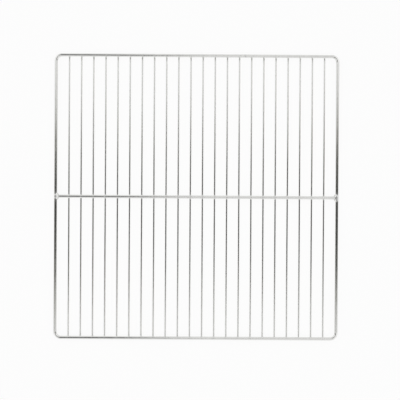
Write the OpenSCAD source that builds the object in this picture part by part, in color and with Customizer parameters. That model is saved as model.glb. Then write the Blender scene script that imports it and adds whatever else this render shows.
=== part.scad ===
// Wire rack: a closed bent-rod frame with one crossbar and a row of thinner wires welded across one face.
// It lies flat with the wires down. The origin is the middle of the rack on the surface that the wires rest on.
// X runs across the wires, Y along them and Z up through the thickness. All sizes are in millimetres.

/* [Rack] */
// Overall width, across the outside of the two side rods
rack_w = 530; // [400:1:800]
// Overall length, across the outside of the two end rods
rack_l = 532; // [300:1:800]

/* [Frame] */
// Diameter of the rod that the frame is bent from
frame_rod_d = 6; // [4:0.1:9]
// Radius of each corner bend, at the middle of the rod
bend_r = 11; // [8:0.5:40]
// Width of the raised band at the butt weld that closes the frame
seam_w = 3; // [2:0.1:6]
// Height of that band above the rod
seam_rise = 0.25; // [0.1:0.05:0.5]
// Wished place of that weld from the middle of the end rod, moved to the middle of the nearest gap between wires
seam_place = 91; // [-120:1:120]

/* [Crossbar] */
// Diameter of the crossbar
crossbar_d = 6; // [4:0.1:9]
// Place of the crossbar from the middle of the rack
crossbar_place = 0; // [-80:1:80]
// Depth that each end of the crossbar is shaped to run in beside the side rod
crossbar_run_in = 1.8; // [0.5:0.1:1.9]

/* [Wires] */
// Number of wires
wire_count = 22; // [8:1:40]
// Diameter of each wire
wire_d = 3; // [2:0.1:4.5]
// Distance from the middle of each side rod to the middle of the wire beside it
edge_gap = 24.2; // [12:0.1:60]
// Distance that each end of a wire stays back from the frame's outer edge
wire_setback = 1; // [0.5:0.1:2]
// Chamfer on each end of a wire
wire_chamfer = 0.3; // [0.1:0.05:0.6]

/* [Welds] */
// Depth that the wires are pressed into the rods they are welded to
weld_sink = 0.4; // [0.2:0.05:0.8]
// Diameter of each bead of weld metal in the corners at the crossbar's ends
bead_d = 4.8; // [3.6:0.1:6]
// Distance from the surface of both rods to the middle of a bead
bead_standoff = 1; // [0.5:0.1:1.2]

/* [Hidden] */
$fn = 64;

// Rod centrelines
side_rod_x = (rack_w - frame_rod_d) / 2;
end_rod_y = (rack_l - frame_rod_d) / 2;
rods_bottom_z = wire_d - weld_sink;
frame_z = rods_bottom_z + frame_rod_d / 2;
crossbar_z = rods_bottom_z + crossbar_d / 2;
wire_z = wire_d / 2;

// Straight lengths between the corner bends
side_straight = 2 * (end_rod_y - bend_r);
end_straight = 2 * (side_rod_x - bend_r);

// Wires
wire_l = rack_l - 2 * wire_setback;
wire_pitch = 2 * (side_rod_x - edge_gap) / (wire_count - 1);
function wire_x(i) = (i - (wire_count + 1) / 2) * wire_pitch;
function wire_name(i) = str("wire_", i < 10 ? "0" : "", i);

// Middle of the gap between wires that is nearest to the wished place of the butt weld
gap_shift = wire_count % 2 == 0 ? 0 : wire_pitch / 2;
seam_x = round((seam_place - gap_shift) / wire_pitch) * wire_pitch + gap_shift;

// Band at the butt weld: a flat top with a slope of a quarter of its width on each side
seam_d = frame_rod_d + 2 * seam_rise;
seam_slope = seam_w / 4;
seam_flat = seam_w - 2 * seam_slope;

// Crossbar
crossbar_end_x = side_rod_x - frame_rod_d / 2 + crossbar_run_in;
bead_x = side_rod_x - frame_rod_d / 2 - bead_standoff;
bead_y = crossbar_d / 2 + bead_standoff;
bead_z = (frame_z + crossbar_z) / 2;

// Length of side rod that shapes the crossbar's end and its beads, past the far side of both beads
end_cut_l = 2 * (bead_y + bead_d);

wire_numbers = [for (i = [1 : wire_count]) i];

// Straight round rod along X, centred on the origin
module rod_x(length, diameter) {
    rotate([0, 90, 0])
        cylinder(h = length, d = diameter, center = true);
}

// Straight round rod along Y, centred on the origin
module rod_y(length, diameter) {
    rotate([90, 0, 0])
        cylinder(h = length, d = diameter, center = true);
}

// Quarter ring of the frame rod, from the +X direction round to the +Y direction
module corner_bend() {
    rotate_extrude(angle = 90)
        translate([bend_r, 0])
            circle(d = frame_rod_d);
}

// Raised band with sloping sides, left where the frame rod's two ends are butt-welded
module seam_band() {
    rod_x(seam_flat, seam_d);
    for (side = [-1, 1])
        translate([side * seam_flat / 2, 0, 0])
            rotate([0, side * 90, 0])
                cylinder(h = seam_slope, d1 = seam_d, d2 = frame_rod_d);
}

// Wire number i with chamfered ends, along Y in its place
module wire_body(i) {
    straight = wire_l - 2 * wire_chamfer;
    translate([wire_x(i), 0, wire_z]) {
        rod_y(straight, wire_d);
        for (side = [-1, 1])
            translate([0, side * straight / 2, 0])
                rotate([-side * 90, 0, 0])
                    cylinder(h = wire_chamfer, d1 = wire_d, d2 = wire_d - 2 * wire_chamfer);
    }
}

// Every wire at once, used to press the weld seats into the rods
module all_wire_bodies() {
    for (i = wire_numbers)
        wire_body(i);
}

// Closed ring of the frame rod before the weld seats are pressed into it
module frame_ring() {
    translate([0, 0, frame_z]) {
        for (side = [-1, 1]) {
            translate([side * side_rod_x, 0, 0])
                rod_y(side_straight, frame_rod_d);
            translate([0, side * end_rod_y, 0])
                rod_x(end_straight, frame_rod_d);
        }
        for (turn = [0, 1, 2, 3]) {
            across = turn == 0 || turn == 3 ? 1 : -1;
            along = turn < 2 ? 1 : -1;
            translate([across * end_straight / 2, along * side_straight / 2, 0])
                rotate([0, 0, 90 * turn])
                    corner_bend();
        }
        translate([seam_x, end_rod_y, 0])
            seam_band();
    }
}

// Frame: one rod bent round four corners and butt-welded, with a shallow seat over each wire
module frame() {
    color([0.8, 0.8, 0.8])
        difference() {
            frame_ring();
            all_wire_bodies();
        }
}

// Crossbar: a rod whose ends are shaped round the side rods, with a bead of weld metal in each corner there
module crossbar() {
    color([0.75, 0.75, 0.76])
        difference() {
            union() {
                translate([0, crossbar_place, crossbar_z])
                    rod_x(2 * crossbar_end_x, crossbar_d);
                for (side = [-1, 1], edge = [-1, 1])
                    translate([side * bead_x, crossbar_place + edge * bead_y, bead_z])
                        sphere(d = bead_d);
            }
            for (side = [-1, 1])
                translate([side * side_rod_x, crossbar_place, frame_z])
                    rod_y(end_cut_l, frame_rod_d);
            all_wire_bodies();
        }
}

// Wire number i
module wire(i) {
    color([0.72, 0.72, 0.72])
        wire_body(i);
}

frame();
crossbar();
for (i = wire_numbers)
    wire(i);
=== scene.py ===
"""Chromed wire rack: its bent frame, crossbar, wires and welds, and the white studio they lie in.

Everything is in metres in the packed model's frame: X across the wires, Y along them, Z up, with the wires at the
bottom. Each rod and wire is a round profile carried along its path. Each weld is the smooth union of what it joins.
"""

import math

import bpy
import numpy as np
from bpy.props import FloatProperty, FloatVectorProperty, IntProperty, PointerProperty
from mathutils import Matrix, Vector


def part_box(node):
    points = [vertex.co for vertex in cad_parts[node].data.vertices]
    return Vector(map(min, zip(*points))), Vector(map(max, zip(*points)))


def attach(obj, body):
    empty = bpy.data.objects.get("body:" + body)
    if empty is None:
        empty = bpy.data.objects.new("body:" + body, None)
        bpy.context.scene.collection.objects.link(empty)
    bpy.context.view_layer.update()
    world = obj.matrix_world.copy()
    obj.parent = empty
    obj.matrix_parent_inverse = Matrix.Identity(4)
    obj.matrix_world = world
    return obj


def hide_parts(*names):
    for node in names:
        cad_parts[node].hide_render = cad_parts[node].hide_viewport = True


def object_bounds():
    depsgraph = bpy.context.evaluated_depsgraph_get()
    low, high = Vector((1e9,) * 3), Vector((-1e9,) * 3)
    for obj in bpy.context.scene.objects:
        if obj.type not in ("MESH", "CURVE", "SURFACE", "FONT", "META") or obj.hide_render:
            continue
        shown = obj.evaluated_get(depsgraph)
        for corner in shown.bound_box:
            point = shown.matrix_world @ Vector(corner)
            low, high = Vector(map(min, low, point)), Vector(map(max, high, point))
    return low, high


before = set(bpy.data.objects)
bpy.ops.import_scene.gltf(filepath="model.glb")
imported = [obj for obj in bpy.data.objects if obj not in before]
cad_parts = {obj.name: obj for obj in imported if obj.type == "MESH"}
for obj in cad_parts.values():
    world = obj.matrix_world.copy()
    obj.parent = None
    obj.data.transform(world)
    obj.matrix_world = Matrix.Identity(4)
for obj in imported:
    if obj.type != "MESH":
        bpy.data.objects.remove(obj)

bl_info = {
    "name": "Wire Rack",
    "version": (1, 0, 0),
    "blender": (4, 5, 0),
    "location": "View3D > Sidebar > Wire Rack",
    "description": "Chromed wire rack with welded wires, and its studio",
    "category": "Add Mesh",
}

MM = 0.001
BODY = "root"
UP = np.array([0.0, 0.0, 1.0])
PLACE = "rod_place"
FROST = "weld_frost"
BAKE_MAP = "OFBake"

# Places and sizes that the packed model gives
cad_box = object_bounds()
frame_low, frame_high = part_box("frame")
bar_low, bar_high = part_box("crossbar")
wire_nodes = sorted(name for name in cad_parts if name.startswith("wire_"))
wire_boxes = np.array([[list(corner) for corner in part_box(name)] for name in wire_nodes])
wire_x = wire_boxes[:, :, 0].mean(axis=1)
wire_z = float(wire_boxes[:, :, 2].mean())
wire_end = float(wire_boxes[:, 1, 1].mean())
wire_d = float(np.ptp(wire_boxes[:, :, 0], axis=1).mean())

# The butt weld stands proud on the +Y side only, so it shows in how far the two ends reach
band_rise = frame_high.y + frame_low.y
frame_rod_d = frame_high.z - frame_low.z - 2 * band_rise
frame_z = (frame_high.z + frame_low.z) / 2
bar_y = (bar_high.y + bar_low.y) / 2
bar_z = (bar_high.z + bar_low.z) / 2
bar_d = bar_high.z - bar_low.z
side_x = frame_high.x - frame_rod_d / 2
end_y = -frame_low.y - frame_rod_d / 2


class RodSizes(bpy.types.PropertyGroup):
    """Sizes of the frame rod and the crossbar."""

    rod_d: FloatProperty(
        name="Frame rod diameter", description="Diameter of the bent frame rod",
        default=frame_rod_d, min=0.002, max=0.012, subtype="DISTANCE", unit="LENGTH")
    bar_d: FloatProperty(
        name="Crossbar diameter", description="Diameter of the crossbar",
        default=bar_d, min=0.002, max=0.012, subtype="DISTANCE", unit="LENGTH")
    bend_r: FloatProperty(
        name="Bend radius", description="Radius of each corner bend at the middle of the rod",
        default=11 * MM, min=0.005, max=0.05, subtype="DISTANCE", unit="LENGTH")
    band_w: FloatProperty(
        name="Butt weld width", description="Width of the raised band at the frame's butt weld",
        default=3 * MM, min=0.001, max=0.008, subtype="DISTANCE", unit="LENGTH")
    band_x: FloatProperty(
        name="Butt weld place", description="Place of the butt weld along the end rod",
        default=90.6 * MM, subtype="DISTANCE", unit="LENGTH")
    bend_squeeze: FloatProperty(
        name="Bend squeeze", description="Share by which a bend flattens the rod from above",
        default=0.035, min=0.0, max=0.1)
    mark_frame: FloatProperty(
        name="Electrode mark on frame", description="Depth of the weld electrode's mark on top of the frame",
        default=0.015 * MM, min=0.0, max=0.001, subtype="DISTANCE", unit="LENGTH")
    mark_bar: FloatProperty(
        name="Electrode mark on crossbar", description="Depth of the electrode's mark on top of the crossbar",
        default=0.06 * MM, min=0.0, max=0.001, subtype="DISTANCE", unit="LENGTH")
    mark_w: FloatProperty(
        name="Electrode mark width", description="Half width of each electrode mark along the rod",
        default=1.3 * MM, min=0.0005, max=0.004, subtype="DISTANCE", unit="LENGTH")
    sides: IntProperty(name="Sides", description="Faces round a rod", default=32, min=12, max=64)


class WireSizes(bpy.types.PropertyGroup):
    """Sizes and small bends of the wires."""

    wire_d: FloatProperty(
        name="Wire diameter", description="Diameter of each wire",
        default=wire_d, min=0.001, max=0.006, subtype="DISTANCE", unit="LENGTH")
    bow: FloatProperty(
        name="Bow", description="Most that a wire rises between two welds",
        default=0.4 * MM, min=0.0, max=0.002, subtype="DISTANCE", unit="LENGTH")
    sway: FloatProperty(
        name="Sway", description="Most that a wire strays sideways between two welds",
        default=0.15 * MM, min=0.0, max=0.002, subtype="DISTANCE", unit="LENGTH")
    lift_far: FloatProperty(
        name="Lift at +Y rod", description="Rise of a wire into its weld at the +Y end rod",
        default=0.36 * MM, min=0.0, max=0.001, subtype="DISTANCE", unit="LENGTH")
    lift_bar: FloatProperty(
        name="Lift at crossbar", description="Rise of a wire into its weld at the crossbar",
        default=0.12 * MM, min=0.0, max=0.001, subtype="DISTANCE", unit="LENGTH")
    lift_near: FloatProperty(
        name="Lift at -Y rod", description="Rise of a wire into its weld at the -Y end rod",
        default=0.08 * MM, min=0.0, max=0.001, subtype="DISTANCE", unit="LENGTH")
    lift_reach: FloatProperty(
        name="Lift reach", description="Distance over which the rise at a weld dies out",
        default=4.6 * MM, min=0.001, max=0.02, subtype="DISTANCE", unit="LENGTH")
    end_round: FloatProperty(
        name="End rounding", description="Rounding of a wire's sheared ends",
        default=0.35 * MM, min=0.0001, max=0.001, subtype="DISTANCE", unit="LENGTH")
    shear: FloatProperty(
        name="Shear slant", description="Slope of the sheared end faces",
        default=0.09, min=0.0, max=0.3)
    sides: IntProperty(name="Sides", description="Faces round a wire", default=20, min=10, max=48)
    seed: IntProperty(name="Seed", description="Seed of the wires' small bends", default=7)


class WeldSizes(bpy.types.PropertyGroup):
    """Sizes of the weld metal."""

    fillet: FloatProperty(
        name="Crossing fillet", description="Size of the fillet where a wire crosses a rod",
        default=1.9 * MM, min=0.0005, max=0.004, subtype="DISTANCE", unit="LENGTH")
    end_fillet: FloatProperty(
        name="End fillet", description="Size of the fillets at the crossbar's ends",
        default=2.2 * MM, min=0.0005, max=0.005, subtype="DISTANCE", unit="LENGTH")
    bead_r: FloatProperty(
        name="Bead radius", description="Radius of each bead beside the crossbar's ends",
        default=2.2 * MM, min=0.001, max=0.005, subtype="DISTANCE", unit="LENGTH")
    bead_in: FloatProperty(
        name="Bead inset", description="Distance of each bead's middle from the side rod's middle",
        default=3.3 * MM, min=0.001, max=0.01, subtype="DISTANCE", unit="LENGTH")
    ripple: FloatProperty(
        name="Ripple", description="Height of the ripples on the crossbar's end welds",
        default=0.04 * MM, min=0.0, max=0.0005, subtype="DISTANCE", unit="LENGTH")
    inset: FloatProperty(
        name="Inset", description="Depth at which a weld's skin runs under the rods away from the joint",
        default=0.03 * MM, min=0.0, max=0.0002, subtype="DISTANCE", unit="LENGTH")


class ChromeFinish(bpy.types.PropertyGroup):
    """Look of the chrome plate."""

    chrome: FloatVectorProperty(
        name="Chrome", description="Colour of the plate", subtype="COLOR",
        default=(0.80, 0.80, 0.785), min=0.0, max=1.0)
    dull: FloatVectorProperty(
        name="Dull chrome", description="Colour of the frosted plate over a weld", subtype="COLOR",
        default=(0.73, 0.73, 0.72), min=0.0, max=1.0)
    rod_roughness: FloatProperty(
        name="Rod roughness", description="Roughness of the plate on the rods", default=0.13, min=0.0, max=1.0)
    wire_roughness: FloatProperty(
        name="Wire roughness", description="Roughness of the plate on the wires", default=0.16, min=0.0, max=1.0)
    frost: FloatProperty(
        name="Frost", description="Roughness of the plate over a weld", default=0.42, min=0.0, max=1.0)
    line_depth: FloatProperty(
        name="Drawing line depth", description="Depth of the fine lines along the drawn wire",
        default=0.0012 * MM, min=0.0, max=0.00005, subtype="DISTANCE", unit="LENGTH")
    peel_depth: FloatProperty(
        name="Plate ripple depth", description="Depth of the soft unevenness of the plate",
        default=0.005 * MM, min=0.0, max=0.00005, subtype="DISTANCE", unit="LENGTH")


class StudioSettings(bpy.types.PropertyGroup):
    """Camera, floor and light."""

    lens: FloatProperty(name="Lens", description="Focal length in millimetres", default=85.0, min=20.0, max=200.0)
    distance: FloatProperty(
        name="Camera distance", description="Distance of the camera from the point that it looks at",
        default=1765.1 * MM, min=0.5, max=5.0, subtype="DISTANCE", unit="LENGTH")
    aim_x: FloatProperty(
        name="Aim X", description="X of the point that the camera looks at",
        default=6.92 * MM, subtype="DISTANCE", unit="LENGTH")
    aim_y: FloatProperty(
        name="Aim Y", description="Y of the point that the camera looks at",
        default=-5.53 * MM, subtype="DISTANCE", unit="LENGTH")
    pitch: FloatProperty(
        name="Pitch", description="Turn of the camera about X from looking straight down",
        default=math.radians(-0.327), subtype="ANGLE", unit="ROTATION")
    yaw: FloatProperty(
        name="Yaw", description="Turn of the camera about Y",
        default=math.radians(-0.197), subtype="ANGLE", unit="ROTATION")
    roll: FloatProperty(
        name="Roll", description="Turn of the camera about its own axis",
        default=math.radians(0.364), subtype="ANGLE", unit="ROTATION")
    floor_r: FloatProperty(
        name="Floor radius", description="Radius of the round floor",
        default=6.0, min=1.0, max=50.0, subtype="DISTANCE", unit="LENGTH")
    shadow: FloatProperty(
        name="Shadow", description="Share of the floor that shows the light falling on it", default=0.1,
        min=0.0, max=1.0)
    dome: FloatProperty(
        name="Dome", description="Strength of the white dome overhead", default=0.93, min=0.0, max=3.0)
    box_level: FloatProperty(
        name="Soft boxes", description="Strength of the soft boxes to the left and right", default=1.3,
        min=0.0, max=5.0)
    gap_level: FloatProperty(
        name="Gap level", description="Strength of the dark gap in the dome", default=0.045, min=0.0, max=1.0)
    gap_middle: FloatProperty(
        name="Gap middle", description="Degrees by which the gap's middle leans towards +Y", default=-1.15)
    gap_half: FloatProperty(
        name="Gap half width", description="Degrees from the gap's middle to its edges", default=5.0)
    gap_edge: FloatProperty(
        name="Gap edge", description="Degrees over which the gap's edges fade, each way", default=2.4)
    gap_reach: FloatProperty(
        name="Gap reach", description="Degrees that the gap runs down to each side", default=86.0)
    skirt: FloatProperty(
        name="Skirt", description="Share by which the dome dims beside the gap", default=0.12, min=0.0, max=1.0)
    screen_level: FloatProperty(
        name="Screen level", description="Strength of the grey screen beside the camera", default=0.12,
        min=0.0, max=1.0)
    screen_from: FloatProperty(
        name="Screen start", description="Degrees from overhead to the screen's far edge", default=-16.0)
    screen_to: FloatProperty(
        name="Screen end", description="Degrees from overhead to the screen's near edge", default=-2.5)
    screen_edge: FloatProperty(
        name="Screen edge", description="Degrees over which the screen's edges fade, each way", default=1.6)
    screen_reach: FloatProperty(
        name="Screen reach", description="Degrees that the screen runs down to each side", default=38.0)
    wall_level: FloatProperty(
        name="Wall level", description="Strength of the grey walls near the horizon", default=0.62,
        min=0.0, max=1.0)
    wall_low: FloatProperty(
        name="Wall top", description="Degrees from overhead at which the walls start", default=71.0)
    wall_high: FloatProperty(
        name="Wall foot", description="Degrees from overhead at which the walls end", default=86.0)


GROUPS = {
    "rack_rods": RodSizes,
    "rack_wires": WireSizes,
    "rack_welds": WeldSizes,
    "rack_chrome": ChromeFinish,
    "rack_studio": StudioSettings,
}


class Value:
    """A number socket of a node tree that takes part in plain arithmetic."""

    def __init__(self, graph, socket):
        self.graph = graph
        self.socket = socket

    def __add__(self, other):
        return self.graph.math("ADD", self, other)

    def __sub__(self, other):
        return self.graph.math("SUBTRACT", self, other)

    def __rsub__(self, other):
        return self.graph.math("SUBTRACT", other, self)

    def __mul__(self, other):
        return self.graph.math("MULTIPLY", self, other)

    def __truediv__(self, other):
        return self.graph.math("DIVIDE", self, other)

    def __rtruediv__(self, other):
        return self.graph.math("DIVIDE", other, self)

    def __pow__(self, other):
        return self.graph.math("POWER", self, other)

    __radd__ = __add__
    __rmul__ = __mul__


class Graph:
    """Builds a node tree from nothing."""

    def __init__(self, tree):
        self.tree = tree
        tree.nodes.clear()

    def node(self, kind, settings=None, inputs=None):
        """Adds a node of that kind, sets its settings, then gives each named socket its value or link."""
        made = self.tree.nodes.new(kind)
        for name, value in (settings or {}).items():
            if name == "stops":
                self.set_stops(made.color_ramp, value)
            else:
                setattr(made, name, value)
        for name, value in (inputs or {}).items():
            if isinstance(value, Value):
                self.tree.links.new(value.socket, made.inputs[name])
            elif isinstance(value, bpy.types.NodeSocket):
                self.tree.links.new(value, made.inputs[name])
            else:
                made.inputs[name].default_value = value
        return made

    def set_stops(self, ramp, stops):
        """Gives a colour ramp its stops, each a place and a colour."""
        while len(ramp.elements) < len(stops):
            ramp.elements.new(1.0)
        for element, (place, colour) in zip(ramp.elements, stops):
            element.position = place
            element.color = colour

    def value(self, kind, settings=None, inputs=None, output=0):
        """Adds a node and wraps one of its outputs."""
        return Value(self, self.node(kind, settings, inputs).outputs[output])

    def math(self, operation, *terms):
        return self.value("ShaderNodeMath", {"operation": operation}, dict(enumerate(terms)))

    def step(self, value, low, high):
        """Rises smoothly from 0 where value is low to 1 where it is high."""
        return self.value(
            "ShaderNodeMapRange", {"interpolation_type": "SMOOTHSTEP"},
            {"Value": value, "From Min": low, "From Max": high, "To Min": 0.0, "To Max": 1.0})

    def window(self, value, low, high, edge):
        """1 where value lies between low and high, falling smoothly to 0 over the edge outside and inside them."""
        rise = self.step(value, low - edge, low + edge)
        fall = self.step(value, high - edge, high + edge)
        return rise * (1 - fall)

    def scaled(self, vector, scale):
        return self.value(
            "ShaderNodeVectorMath", {"operation": "MULTIPLY"}, {0: vector, 1: scale}, output="Vector")

    def noise(self, vector, scale, detail=2.0, roughness=0.5):
        return self.value(
            "ShaderNodeTexNoise", {"noise_dimensions": "3D"},
            {"Vector": vector, "Scale": scale, "Detail": detail, "Roughness": roughness}, output="Fac")

    def mix(self, factor, first, second):
        """First where the factor is 0, second where it is 1, as colours."""
        mixed = self.node("ShaderNodeMix", {"data_type": "RGBA"}, {0: factor, 6: first, 7: second})
        return mixed.outputs[2]


def stations(low, high, coarse, centres, reach, fine):
    """Places from low to high a coarse step apart, with a fine step within reach of each centre."""
    plain = np.linspace(low, high, max(2, int(round((high - low) / coarse)) + 1))
    offsets = np.arange(-reach, reach + fine / 2, fine)
    dense = (np.asarray(centres, float)[:, None] + offsets[None, :]).ravel()
    places = np.sort(np.concatenate([plain, dense[(dense > low) & (dense < high)]]))
    keep = np.concatenate([[True], np.diff(places) > fine * 0.4])
    places = places[keep]
    places[-1] = high
    return places


def nearest(values, centres):
    """Distance from each value to the nearest of the centres."""
    return np.abs(np.asarray(values)[:, None] - np.asarray(centres)[None, :]).min(axis=1)


def around(sides):
    """Angles of the profile's corners, from the side direction over the top."""
    return np.arange(sides) * (2 * np.pi / sides)


def carried(centre, tangent, radius, angles):
    """Round profile carried along a path that lies nearly flat.

    At each station the side direction is up crossed with the tangent. A corner lies at the centre plus its radius
    times (cosine of its angle along the side direction plus sine of its angle upwards).
    """
    side = np.cross(UP, tangent)
    side = side / np.linalg.norm(side, axis=1)[:, None]
    direction = np.cos(angles)[None, :, None] * side[:, None, :] + np.sin(angles)[None, :, None] * UP
    return centre[:, None, :] + radius[:, :, None] * direction


def own_place(along, radius, angles):
    """The rod's own coordinates: across and up in the profile, and the distance along the path."""
    shape = radius.shape
    return np.stack([
        radius * np.cos(angles)[None, :],
        radius * np.sin(angles)[None, :],
        np.broadcast_to(along[:, None], shape),
    ], axis=2)


def grid_quads(rings, sides, closed):
    """Corner numbers of the quads between neighbouring rings, facing outwards."""
    last = rings if closed else rings - 1
    ring = np.arange(last)[:, None]
    corner = np.arange(sides)[None, :]
    following = (ring + 1) % rings
    beside = (corner + 1) % sides
    quads = np.stack([
        ring * sides + corner,
        ring * sides + beside,
        following * sides + beside,
        following * sides + corner,
    ], axis=2)
    return quads.reshape(-1, 4)


def bake_places(rings, sides, closed, rows):
    """Corner places for a bake: the skin is cut into equal rows, which lie above each other in the unit square."""
    last = rings if closed else rings - 1
    ring = np.repeat(np.arange(last), sides)
    corner = np.tile(np.arange(sides), last)
    length = math.ceil(last / rows)
    row = ring // length
    across = np.stack([ring, ring, ring + 1, ring + 1], axis=1) - (row * length)[:, None]
    upward = np.stack([corner, corner + 1, corner + 1, corner], axis=1) / sides
    margin = 0.04
    u = 0.004 + 0.992 * across / length
    v = (row[:, None] + margin + (1 - 2 * margin) * upward) / rows
    return np.stack([u, v], axis=2).reshape(-1, 2)


class Skin:
    """Gathers grids of points into one closed mesh with the attributes that the chrome reads."""

    def __init__(self):
        self.points = []
        self.places = []
        self.frosts = []
        self.faces = []
        self.maps = []
        self.count = 0

    def add(self, points, place, frost, closed=False, rows=8, cell=None):
        """Adds one grid of rings. An open one is closed by a point at the middle of each end ring.

        cell is the corner and size of the part of the bake map that the grid takes, where it shares the map.
        """
        rings, sides = points.shape[:2]
        flat = points.reshape(-1, 3)
        flat_place = place.reshape(-1, 3)
        flat_frost = frost.reshape(-1)
        quads = grid_quads(rings, sides, closed)
        corner_map = bake_places(rings, sides, closed, rows)
        polygons = [quads + self.count]
        if not closed:
            first, last = len(flat), len(flat) + 1
            corner = np.arange(sides)
            beside = (corner + 1) % sides
            flat = np.vstack([flat, points[0].mean(axis=0), points[-1].mean(axis=0)])
            flat_place = np.vstack([flat_place, place[0].mean(axis=0), place[-1].mean(axis=0)])
            flat_frost = np.concatenate([flat_frost, [frost[0].mean(), frost[-1].mean()]])
            start = np.stack([np.full(sides, first), beside, corner], axis=1)
            final = (rings - 1) * sides
            end = np.stack([np.full(sides, last), final + corner, final + beside], axis=1)
            polygons += [start + self.count, end + self.count]
            corner_map = np.vstack([corner_map, self.cap_map(sides, 0.25), self.cap_map(sides, 0.75)])
        if cell is not None:
            corner_map = np.asarray(cell[:2]) + corner_map * cell[2]
        self.points.append(flat)
        self.places.append(flat_place)
        self.frosts.append(flat_frost)
        self.faces += polygons
        self.maps.append(corner_map)
        self.count += len(flat)

    def cap_map(self, sides, middle):
        """Corner places of an end's triangles: a small fan in the strip that the rows leave free."""
        turn = np.arange(sides) * (2 * np.pi / sides)
        radius = 0.0015
        hub = np.tile([middle, 0.0018], (sides, 1))
        one = hub + radius * np.stack([np.cos(turn), np.sin(turn)], axis=1)
        two = np.roll(one, -1, axis=0)
        return np.stack([hub, one, two], axis=1).reshape(-1, 2)

    def build(self, name, material):
        """Makes the mesh and its object, at the origin."""
        points = np.vstack(self.points)
        corners = np.concatenate([faces.ravel() for faces in self.faces])
        sizes = np.concatenate([np.full(len(faces), faces.shape[1]) for faces in self.faces])
        starts = np.concatenate([[0], np.cumsum(sizes)[:-1]])
        mesh = bpy.data.meshes.new(name)
        mesh.vertices.add(len(points))
        mesh.vertices.foreach_set("co", points.astype(np.float32).ravel())
        mesh.loops.add(len(corners))
        mesh.loops.foreach_set("vertex_index", corners.astype(np.int32))
        mesh.polygons.add(len(sizes))
        mesh.polygons.foreach_set("loop_start", starts.astype(np.int32))
        mesh.update(calc_edges=True)
        place = mesh.attributes.new(PLACE, "FLOAT_VECTOR", "POINT")
        place.data.foreach_set("vector", np.vstack(self.places).astype(np.float32).ravel())
        frost = mesh.attributes.new(FROST, "FLOAT", "POINT")
        frost.data.foreach_set("value", np.concatenate(self.frosts).astype(np.float32))
        layer = mesh.uv_layers.new(name=BAKE_MAP)
        layer.uv.foreach_set("vector", np.vstack(self.maps).astype(np.float32).ravel())
        mesh.polygons.foreach_set("use_smooth", np.ones(len(sizes), bool))
        mesh.materials.append(material)
        if mesh.validate():
            raise RuntimeError(f"the mesh of {name} has faulty faces")
        made = bpy.data.objects.new(name, mesh)
        bpy.context.scene.collection.objects.link(made)
        return made


def finish_piece(piece, slot, *nodes):
    """The piece rides on the rack's body and stands for the nodes, which are hidden. The slot is not used."""
    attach(piece, BODY)
    if nodes:
        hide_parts(*nodes)


def chrome_material(name, finish, plain_roughness, line_scale):
    """Bright chrome plate over drawn steel.

    Fine lines run along the rod, a soft unevenness bends the reflections, and the plate over a weld is frosted.
    """
    found = bpy.data.materials.get(name)
    if found:
        return found
    made = bpy.data.materials.new(name)
    made.use_nodes = True
    graph = Graph(made.node_tree)
    place = graph.value("ShaderNodeAttribute", {"attribute_name": PLACE}, output="Vector")
    frost = graph.value("ShaderNodeAttribute", {"attribute_name": FROST}, output="Fac")
    where = graph.value("ShaderNodeTexCoord", output="Object")
    lines = graph.noise(graph.scaled(place, (line_scale, line_scale, 25.0)), 1.0, 3.0, 0.6)
    peel = graph.noise(graph.scaled(place, (420.0, 420.0, 260.0)), 1.0, 1.0)
    cloud = graph.noise(graph.scaled(where, (55.0, 9.0, 55.0)), 1.0, 2.0)
    speck = graph.step(graph.noise(place, 1400.0, 1.0), 0.70, 0.76)
    dulling = graph.math("MINIMUM", frost + speck * 0.25, 1.0)
    tone = graph.mix(dulling, (*finish.chrome, 1.0), (*finish.dull, 1.0))
    shade = graph.math("MULTIPLY_ADD", cloud, 0.10, 0.95)
    colour = graph.node(
        "ShaderNodeVectorMath", {"operation": "SCALE"}, {0: tone, "Scale": shade}).outputs["Vector"]
    roughness = plain_roughness + (cloud - 0.5) * 0.06 + (lines - 0.5) * 0.05
    rough = graph.math("MAXIMUM", roughness + frost * (finish.frost - plain_roughness), 0.05)
    height = lines * (finish.line_depth / finish.peel_depth) + peel
    bump = graph.node(
        "ShaderNodeBump", None, {"Strength": 1.0, "Distance": finish.peel_depth, "Height": height}).outputs[0]
    shader = graph.node(
        "ShaderNodeBsdfPrincipled", None,
        {"Base Color": colour, "Metallic": 1.0, "Roughness": rough, "Normal": bump}).outputs[0]
    graph.node("ShaderNodeOutputMaterial", None, {"Surface": shader})
    return made


def rod_chrome(scene):
    return chrome_material("rod chrome", scene.rack_chrome, scene.rack_chrome.rod_roughness, 2600.0)


def wire_chrome(scene):
    return chrome_material("wire chrome", scene.rack_chrome, scene.rack_chrome.wire_roughness, 4200.0)


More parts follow.
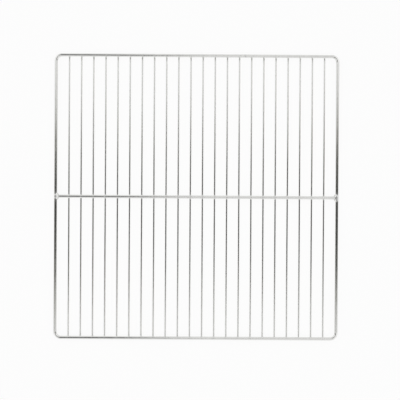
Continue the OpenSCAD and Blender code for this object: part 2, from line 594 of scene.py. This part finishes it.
class FramePath:
    """Closed path of the frame rod: four straight runs, each followed by a quarter bend to the left.

    Distances are measured along the path from the butt weld, which lies in the +Y run.
    """

    def __init__(self, sizes):
        self.bend = sizes.bend_r
        run_x = 2 * (side_x - self.bend)
        run_y = 2 * (end_y - self.bend)
        self.runs = np.array([run_x, run_y, run_x, run_y])
        self.quarter = self.bend * math.pi / 2
        self.begins = np.concatenate([[0.0], np.cumsum(self.runs + self.quarter)])
        self.length = float(self.begins[-1])
        self.heading = np.array([[-1, 0, 0], [0, -1, 0], [1, 0, 0], [0, 1, 0]], float)
        self.leftward = np.array([[0, -1, 0], [1, 0, 0], [0, 1, 0], [-1, 0, 0]], float)
        half_x, half_y = run_x / 2, run_y / 2
        self.corners = np.array([
            [half_x, end_y, frame_z], [-side_x, half_y, frame_z], [-half_x, -end_y, frame_z],
            [side_x, -half_y, frame_z]])
        self.shift = half_x - sizes.band_x

    def at(self, along):
        """Centre, tangent and share of bend at each distance from the butt weld."""
        total = (along + self.shift) % self.length
        side = np.clip(np.searchsorted(self.begins, total, side="right") - 1, 0, 3)
        local = total - self.begins[side]
        straight = np.minimum(local, self.runs[side])
        turn = np.clip((local - self.runs[side]) / self.bend, 0.0, math.pi / 2)
        heading, leftward = self.heading[side], self.leftward[side]
        sine, cosine = np.sin(turn)[:, None], np.cos(turn)[:, None]
        centre = self.corners[side] + heading * straight[:, None]
        centre = centre + self.bend * (sine * heading + (1 - cosine) * leftward)
        tangent = cosine * heading + sine * leftward
        return centre, tangent, np.sin(2 * turn)

    def where(self, run, place):
        """Distance from the butt weld of a coordinate along one of the runs."""
        start = self.corners[run] @ self.heading[run]
        ahead = np.asarray(place) * self.heading[run].sum() - start
        return (self.begins[run] + ahead - self.shift) % self.length

    def bends(self):
        """Distances of the middles of the bends from the butt weld."""
        middles = self.begins[:4] + self.runs + self.quarter / 2
        return (middles - self.shift) % self.length


def bump_shape(distance, width):
    """Bell that is 1 at the middle and dies out with the square of the distance over the width."""
    return np.exp(-(distance / width) ** 2)


def marked(radius, angles, depth):
    """Presses a flat of that depth into the top of each ring.

    The flat cuts off what stands above the rod's radius less the depth, with a soft edge.
    """
    sine = np.maximum(np.sin(angles), 1e-6)[None, :]
    level = (radius - depth[:, None]) / sine
    soft = 0.02 * MM
    excess = radius - level
    cut = 0.5 * (excess + np.sqrt(excess ** 2 + soft ** 2)) - 0.5 * soft
    return np.where(depth[:, None] > 0, radius - np.clip(cut, 0.0, None), radius)


class RACK_OT_frame(bpy.types.Operator):
    """Bent and butt-welded frame rod"""

    bl_idname = "rack.frame"
    bl_label = "Frame rod"

    def execute(self, context):
        scene = context.scene
        sizes = scene.rack_rods
        path = FramePath(sizes)
        far = path.where(0, wire_x)
        near = path.where(2, wire_x)
        crossings = np.concatenate([far, near])
        joints = np.array([path.where(1, bar_y), path.where(3, bar_y)])
        step = 1 * MM
        marks = np.concatenate([crossings, joints])
        along = stations(0.0, path.length, 6 * MM, marks, 3.5 * MM, 0.5 * MM)
        bend_spots = stations(0.0, path.length, path.length, path.bends(), path.quarter / 2 + 3 * MM, step)
        band_spots = np.array([0.25, 0.6, 0.75, 0.9, 1.2, 1.5, 1.8, 2.4]) * sizes.band_w / 2
        extra = np.concatenate([bend_spots[1:-1], band_spots, path.length - band_spots])
        along = np.unique(np.concatenate([along[:-1], extra]))
        along = along[np.concatenate([[True], np.diff(along) > 0.15 * MM])]
        angles = around(sizes.sides)
        centre, tangent, bent = path.at(along)
        wave = 2 * np.pi * along / path.length
        centre[:, 2] += 0.05 * MM * np.sin(3 * wave + 0.7) + 0.04 * MM * np.sin(7 * wave)
        radius = np.full((len(along), sizes.sides), sizes.rod_d / 2)
        radius = radius * (1 + 0.004 * np.sin(5 * wave)[:, None] * np.cos(2 * angles)[None, :])
        flatten = sizes.bend_squeeze * bent[:, None]
        radius = radius * (1 + flatten * np.cos(2 * angles)[None, :])
        from_weld = np.minimum(along, path.length - along)
        rise = np.clip((sizes.band_w / 2 - from_weld) / (sizes.band_w / 4), 0.0, 1.0)
        uneven = 0.8 + 0.2 * np.sin(3 * angles + 1.0) * np.cos(2 * angles)
        radius = radius + band_rise * rise[:, None] * uneven[None, :]
        press = sizes.mark_frame * bump_shape(nearest(along, crossings), sizes.mark_w)
        radius = marked(radius, angles, press)
        top = np.clip(np.sin(angles), 0.0, 1.0)[None, :] ** 2
        under = np.clip(-np.sin(angles), 0.0, 1.0)[None, :]
        weld = bump_shape(nearest(along, crossings), 2.6 * MM)[:, None]
        joint = bump_shape(nearest(along, joints), 7 * MM)[:, None]
        band = bump_shape(from_weld, 2.2 * MM)[:, None]
        frost = np.clip(0.15 * weld * top + 0.8 * weld * under + 0.45 * joint + 0.5 * band, 0.0, 1.0)
        skin = Skin()
        points = carried(centre, tangent, radius, angles)
        skin.add(points, own_place(along, radius, angles), frost, closed=True, rows=24)
        finish_piece(skin.build("frame_rod", rod_chrome(scene)), "rods", "frame")
        return {"FINISHED"}


class RACK_OT_crossbar(bpy.types.Operator):
    """Crossbar with an electrode mark over each wire"""

    bl_idname = "rack.crossbar"
    bl_label = "Crossbar"

    def execute(self, context):
        scene = context.scene
        sizes = scene.rack_rods
        reach = side_x - 0.35 * sizes.rod_d
        along = stations(-reach, reach, 4 * MM, wire_x, 3.5 * MM, 0.45 * MM)
        angles = around(sizes.sides)
        centre = np.stack([along, np.full_like(along, bar_y), np.full_like(along, bar_z)], axis=1)
        wave = np.pi * along / reach
        centre[:, 1] += 0.05 * MM * np.sin(1.5 * wave + 0.4)
        tangent = np.tile([1.0, 0.0, 0.0], (len(along), 1))
        radius = np.full((len(along), sizes.sides), sizes.bar_d / 2)
        radius = radius * (1 + 0.004 * np.sin(4 * wave)[:, None] * np.cos(2 * angles)[None, :])
        press = sizes.mark_bar * bump_shape(nearest(along, wire_x), sizes.mark_w)
        radius = marked(radius, angles, press)
        top = np.clip(np.sin(angles), 0.0, 1.0)[None, :] ** 2
        under = np.clip(-np.sin(angles), 0.0, 1.0)[None, :]
        weld = bump_shape(nearest(along, wire_x), 1.8 * MM)[:, None]
        ends = bump_shape(reach - np.abs(along), 7 * MM)[:, None]
        frost = np.clip(0.4 * weld * top + 0.8 * weld * under + 0.3 * ends, 0.0, 1.0)
        skin = Skin()
        points = carried(centre, tangent, radius, angles)
        skin.add(points, own_place(along, radius, angles), frost, rows=12)
        finish_piece(skin.build("crossbar_rod", rod_chrome(scene)), "rods", "crossbar")
        return {"FINISHED"}


def weld_lift(y, sizes):
    """Rise of a wire at y: each weld lifts it by a bell, and the wire stays up between an end rod and its end."""
    lifts = ((end_y, sizes.lift_far), (bar_y, sizes.lift_bar), (-end_y, sizes.lift_near))
    inside = np.clip(y, -end_y, end_y)
    return sum(rise * bump_shape(inside - at, sizes.lift_reach * math.sqrt(2)) for at, rise in lifts)


def span_wave(y):
    """Share of the way from the crossbar to the end rod, from 0 to 1, on both sides."""
    return np.clip(np.abs(y - bar_y) / (end_y - abs(bar_y)), 0.0, 1.0)


class RACK_OT_wires(bpy.types.Operator):
    """Drawn wires with sheared ends, lifted a little into their welds"""

    bl_idname = "rack.wires"
    bl_label = "Wires"

    def execute(self, context):
        scene = context.scene
        sizes = scene.rack_wires
        angles = around(sizes.sides)
        welds = np.array([-end_y, bar_y, end_y])
        plain = stations(-wire_end, wire_end, 6 * MM, welds, 14 * MM, 1 * MM)
        eased = sizes.end_round * (1 - np.cos(np.linspace(0.15, 1.0, 5) * math.pi / 2))
        along = np.unique(np.concatenate([plain, eased - wire_end, wire_end - eased]))
        from_end = wire_end - np.abs(along)
        hollow = np.clip(sizes.end_round - from_end, 0.0, None)
        drop = sizes.end_round - np.sqrt(np.maximum(sizes.end_round ** 2 - hollow ** 2, 0.0))
        share = span_wave(along)
        upper = along > bar_y
        near_weld = bump_shape(nearest(along, welds), 3.2 * MM)
        random = np.random.default_rng(sizes.seed)
        for number, node in enumerate(wire_nodes):
            bows = random.uniform(0.1, 1.0, 2) * sizes.bow
            skews = random.uniform(-0.45, 0.45, 2) * bows
            sways = random.uniform(-1.0, 1.0, 2) * sizes.sway
            slant = random.uniform(0.3, 1.0, 2) * sizes.shear
            facing = random.uniform(0, 2 * math.pi, 2)
            bow = np.where(upper, bows[0], bows[1]) * np.sin(math.pi * share)
            skew = np.where(upper, skews[0], skews[1]) * np.sin(2 * math.pi * share)
            sway = np.where(upper, sways[0], sways[1]) * np.sin(math.pi * share)
            height = wire_z + bow + skew + weld_lift(along, sizes)
            centre = np.stack([wire_x[number] + sway, along, height], axis=1)
            tangent = np.tile([0.0, 1.0, 0.0], (len(along), 1))
            radius = np.repeat(sizes.wire_d / 2 - drop[:, None], sizes.sides, axis=1)
            points = carried(centre, tangent, radius, angles)
            tilt = np.where(upper, slant[0], slant[1])[:, None]
            turned = np.where(upper, facing[0], facing[1])[:, None]
            shear = tilt * radius * np.cos(angles[None, :] - turned) * np.exp(-from_end / (0.8 * MM))[:, None]
            points[:, :, 1] += shear
            under = np.clip(0.55 + 0.45 * np.sin(angles), 0.0, 1.0)[None, :]
            frost = np.clip(0.7 * near_weld[:, None] * under, 0.0, 1.0)
            skin = Skin()
            skin.add(points, own_place(along + number, radius, angles), frost, rows=16)
            finish_piece(skin.build(f"drawn_{node}", wire_chrome(scene)), "wires", node)
        return {"FINISHED"}


def sphere_grid(rings, sides):
    """Directions on rings from the -Y pole to the +Y pole, without the poles, as an array of rings by sides."""
    polar = (np.arange(rings) + 0.5) * (math.pi / rings)
    turn = around(sides)
    ring = np.sin(polar)[:, None]
    return np.stack([
        -ring * np.cos(turn)[None, :],
        np.broadcast_to(-np.cos(polar)[:, None], (rings, sides)),
        ring * np.sin(turn)[None, :],
    ], axis=2)


def soft_union(first, second, size):
    """Smooth least of two distances: where they differ by less than size, the least is lowered by a parabola."""
    overlap = np.clip(size - np.abs(first - second), 0.0, None)
    return np.minimum(first, second) - overlap ** 2 / (4 * size)


def skin_distance(field, middle, directions, reach):
    """Distance along each direction from the middle to where the field turns positive, at most the reach.

    The interval is halved until it is far below the mesh's own accuracy.
    """
    low = np.zeros(directions.shape[:-1])
    high = np.broadcast_to(reach, low.shape).copy()
    outside = field(middle + high[..., None] * directions) > 0
    for _ in range(22):
        half = (low + high) / 2
        beyond = field(middle + half[..., None] * directions) > 0
        high = np.where(beyond, half, high)
        low = np.where(beyond, low, half)
    return np.where(outside, high, reach)


def ellipsoid_reach(directions, radii):
    """Distance from the middle to the skin of an ellipsoid in each direction."""
    return 1 / np.sqrt(((directions / np.asarray(radii)) ** 2).sum(axis=-1))


class RACK_OT_crossing_welds(bpy.types.Operator):
    """Weld metal squeezed out where each wire crosses a rod"""

    bl_idname = "rack.crossing_welds"
    bl_label = "Crossing welds"

    def execute(self, context):
        scene = context.scene
        wires, welds, rods = scene.rack_wires, scene.rack_welds, scene.rack_rods
        directions = sphere_grid(14, 18)
        random = np.random.default_rng(wires.seed + 1)
        lines = (
            ("far_rod_welds", end_y, frame_z, rods.rod_d / 2),
            ("crossbar_welds", bar_y, bar_z, rods.bar_d / 2),
            ("near_rod_welds", -end_y, frame_z, rods.rod_d / 2),
        )
        for name, rod_y, rod_z, rod_r in lines:
            skin = Skin()
            for number, x in enumerate(wire_x):
                fillet = welds.fillet * random.uniform(0.8, 1.15)
                stretch = random.uniform(0.92, 1.1, 3)
                middle = np.array([x, rod_y, rod_z - rod_r + 0.25 * MM])

                def field(point):
                    rise = wire_z + weld_lift(point[..., 1], wires)
                    wire = np.hypot(point[..., 0] - x, point[..., 2] - rise) - wires.wire_d / 2
                    wire = np.maximum(wire, np.abs(point[..., 1]) - wire_end + 0.3 * MM)
                    rod = np.hypot(point[..., 1] - rod_y, point[..., 2] - rod_z) - rod_r
                    return soft_union(wire, rod, fillet) + welds.inset

                limit = ellipsoid_reach(directions, np.array([3.9, 4.6, 2.4]) * MM * stretch)
                radius = skin_distance(field, middle, directions, limit)
                points = middle + radius[..., None] * directions
                frost = np.full(radius.shape, 0.55)
                cell = (np.array([number % 5, number // 5]) / 5).tolist() + [0.2]
                skin.add(points, points, frost, rows=1, cell=cell)
            finish_piece(skin.build(name, rod_chrome(scene)), "rods")
        return {"FINISHED"}


class RACK_OT_end_welds(bpy.types.Operator):
    """Weld beads and puddle where each end of the crossbar meets its side rod"""

    bl_idname = "rack.end_welds"
    bl_label = "Crossbar end welds"

    def execute(self, context):
        scene = context.scene
        welds, rods = scene.rack_welds, scene.rack_rods
        directions = sphere_grid(72, 64)
        puddles = (
            ("left_end_weld", -1, np.array([3.0, 4.6, 1.4]) * MM, 0.3 * MM, 0.4),
            ("right_end_weld", 1, np.array([3.2, 6.6, 1.5]) * MM, -1.2 * MM, 2.1),
        )
        for name, side, puddle, shift, phase in puddles:
            middle = np.array([side * (side_x - 1.6 * MM), bar_y, frame_z])
            pool = np.array([side * (side_x - 1.0 * MM), bar_y + shift, frame_z + rods.rod_d / 2 - 1.3 * MM])

            def field(point):
                x, y, z = point[..., 0], point[..., 1], point[..., 2]
                rod = np.hypot(x - side * side_x, z - frame_z) - rods.rod_d / 2
                bar = np.hypot(y - bar_y, z - bar_z) - rods.bar_d / 2
                inward = np.clip(side * x - side_x, 0.0, None)
                bar = np.maximum(bar, inward)
                joined = soft_union(rod, bar, welds.end_fillet)
                for edge in (-1, 1):
                    apart = rods.bar_d / 2 + welds.bead_r * 0.5
                    bead = np.array([side * (side_x - welds.bead_in), bar_y + edge * apart, frame_z])
                    ball = np.linalg.norm(point - bead, axis=-1) - welds.bead_r
                    joined = soft_union(joined, ball, 1.2 * MM)
                scaled = np.linalg.norm((point - pool) / puddle, axis=-1)
                pond = (scaled - 1) * puddle.min()
                joined = soft_union(joined, pond, 0.9 * MM)
                wave = np.sin(2 * np.pi * (y / (1.35 * MM) + 0.25 * np.sin(x / (0.9 * MM) + phase)))
                swell = np.sin(x / (1.1 * MM) + phase) * np.cos(y / (1.7 * MM) - phase)
                return joined + welds.inset - welds.ripple * (0.6 * wave + swell)

            limit = ellipsoid_reach(directions, np.array([7.4, 8.6, 4.4]) * MM)
            radius = skin_distance(field, middle, directions, limit)
            points = middle + radius[..., None] * directions
            skin = Skin()
            skin.add(points, points, np.full(radius.shape, 0.12), rows=1)
            finish_piece(skin.build(name, rod_chrome(scene)), "rods")
        return {"FINISHED"}


def floor_material(studio):
    """White floor. What the camera and the chrome see of it is mostly plain white, with a share of the real light."""
    made = bpy.data.materials.new("studio floor")
    made.use_nodes = True
    graph = Graph(made.node_tree)
    place = graph.value("ShaderNodeTexCoord", output="Object")
    paper = graph.mix(graph.noise(place, 3.0), (0.95, 0.95, 0.95, 1.0), (0.96, 0.96, 0.96, 1.0))
    lit = graph.node("ShaderNodeBsdfDiffuse", None, {"Color": paper}).outputs[0]
    plain = graph.node("ShaderNodeEmission", None, {"Color": (1, 1, 1, 1), "Strength": 1.0}).outputs[0]
    rays = graph.node("ShaderNodeLightPath").outputs
    seen = Value(graph, rays["Is Camera Ray"]) + Value(graph, rays["Is Glossy Ray"])
    seen = graph.math("MINIMUM", seen + Value(graph, rays["Is Transmission Ray"]), 1.0)
    share = seen * (1 - studio.shadow)
    mixed = graph.node("ShaderNodeMixShader", None, {0: share, 1: lit, 2: plain}).outputs[0]
    graph.node("ShaderNodeOutputMaterial", None, {"Surface": mixed})
    return made


def studio_world(studio):
    """White dome with what a photo studio has in it: the dark gap over the camera, a grey screen and grey walls.

    Angles are in degrees from straight up. The gap runs along X, the screen along Y, and the walls stand just above
    the horizon. The camera itself sees plain white.
    """
    world = bpy.data.worlds.new("studio")
    world.use_nodes = True
    graph = Graph(world.node_tree)
    degree = 180 / math.pi
    heading = graph.value("ShaderNodeTexCoord", output="Generated")
    parts = graph.node("ShaderNodeSeparateXYZ", None, {0: heading}).outputs
    x, y, z = (Value(graph, parts[axis]) for axis in "XYZ")
    lean_x = graph.math("ARCSINE", x) * degree
    lean_y = graph.math("ARCSINE", y) * degree
    swing_x = graph.math("ARCTAN2", x, z) * degree
    swing_y = graph.math("ARCTAN2", y, z) * degree
    zenith = graph.math("ARCCOSINE", z) * degree
    low, high = studio.gap_middle - studio.gap_half, studio.gap_middle + studio.gap_half
    reach = studio.gap_reach
    gap = graph.window(lean_y, low, high, studio.gap_edge) * graph.window(swing_x, -reach, reach, 4.0)
    skirt = graph.window(lean_y, low - 5.0, high + 5.0, 5.0) * graph.window(swing_x, -78.0, 78.0, 12.0)
    screen = graph.window(lean_x, studio.screen_from, studio.screen_to, studio.screen_edge)
    screen = screen * graph.window(swing_y, -studio.screen_reach, studio.screen_reach, 5.0)
    walls = graph.window(zenith, studio.wall_low, studio.wall_high, 4.0)
    boxes = graph.window(graph.math("ABSOLUTE", swing_x), 34.0, 64.0, 10.0)
    boxes = boxes * graph.window(lean_y, -48.0, 48.0, 6.0)
    level = studio.dome + boxes * (studio.box_level - studio.dome)
    level = level * (1 - walls * (1 - studio.wall_level))
    level = level * (1 - skirt * studio.skirt)
    level = level * (1 - screen * (1 - studio.screen_level))
    level = level * (1 - gap * (1 - studio.gap_level))
    rays = graph.node("ShaderNodeLightPath").outputs
    strength = graph.value(
        "ShaderNodeMix", {"data_type": "FLOAT"}, {0: rays["Is Camera Ray"], 2: level, 3: 1.0})
    tint = graph.mix(gap, (1.0, 1.0, 1.0, 1.0), (1.0, 0.98, 0.86, 1.0))
    colour = graph.mix(rays["Is Camera Ray"], tint, (1.0, 1.0, 1.0, 1.0))
    shader = graph.node("ShaderNodeBackground", None, {"Color": colour, "Strength": strength}).outputs[0]
    graph.node("ShaderNodeOutputWorld", None, {"Surface": shader})
    return world


def camera_matrix(studio):
    """Camera looking down: turned by pitch, yaw and roll, and set back from the aim point by the distance."""
    turn = Matrix.Rotation(studio.roll, 3, "Z") @ Matrix.Rotation(studio.yaw, 3, "Y")
    turn = turn @ Matrix.Rotation(studio.pitch, 3, "X")
    place = Vector((studio.aim_x, studio.aim_y, 0)) + turn @ Vector((0, 0, studio.distance))
    return Matrix.Translation(place) @ turn.to_4x4()


class RACK_OT_stage(bpy.types.Operator):
    """Floor, light and camera"""

    bl_idname = "rack.stage"
    bl_label = "Studio"

    def execute(self, context):
        scene = context.scene
        studio = scene.rack_studio
        turn = around(96)
        rim = studio.floor_r * np.stack([np.cos(turn), np.sin(turn), np.zeros(96)], axis=1)
        rim[:, 2] = cad_box[0].z
        mesh = bpy.data.meshes.new("studio_floor")
        mesh.from_pydata(rim.tolist(), [], [list(range(96))])
        mesh.materials.append(floor_material(studio))
        floor = bpy.data.objects.new("studio_floor", mesh)
        scene.collection.objects.link(floor)
        scene.world = studio_world(studio)
        lens = bpy.data.cameras.new("camera")
        lens.lens = studio.lens
        lens.sensor_width = 36.0
        lens.clip_end = 100.0
        camera = bpy.data.objects.new("camera", lens)
        camera.matrix_world = camera_matrix(studio)
        scene.collection.objects.link(camera)
        scene.camera = camera
        scene.view_settings.view_transform = "Standard"
        return {"FINISHED"}


OPERATORS = (
    RACK_OT_stage,
    RACK_OT_frame,
    RACK_OT_crossbar,
    RACK_OT_wires,
    RACK_OT_crossing_welds,
    RACK_OT_end_welds,
)


class RACK_PT_panel(bpy.types.Panel):
    """Lists the rack's sizes and the steps that make it"""

    bl_idname = "RACK_PT_panel"
    bl_label = "Wire Rack"
    bl_space_type = "VIEW_3D"
    bl_region_type = "UI"
    bl_category = "Wire Rack"

    def draw(self, context):
        for group, kind in GROUPS.items():
            box = self.layout.box()
            box.label(text=kind.__doc__.rstrip("."))
            for name in kind.__annotations__:
                box.prop(getattr(context.scene, group), name)
        for operator in OPERATORS:
            self.layout.operator(operator.bl_idname)


def register():
    for kind in (*GROUPS.values(), *OPERATORS, RACK_PT_panel):
        bpy.utils.register_class(kind)
    for group, kind in GROUPS.items():
        setattr(bpy.types.Scene, group, PointerProperty(type=kind))


def unregister():
    for group in GROUPS:
        delattr(bpy.types.Scene, group)
    for kind in (RACK_PT_panel, *reversed(OPERATORS), *reversed(list(GROUPS.values()))):
        bpy.utils.unregister_class(kind)


def main():
    register()
    for operator in OPERATORS:
        space, name = operator.bl_idname.split(".")
        getattr(getattr(bpy.ops, space), name)()


if __name__ == "__main__":
    main()
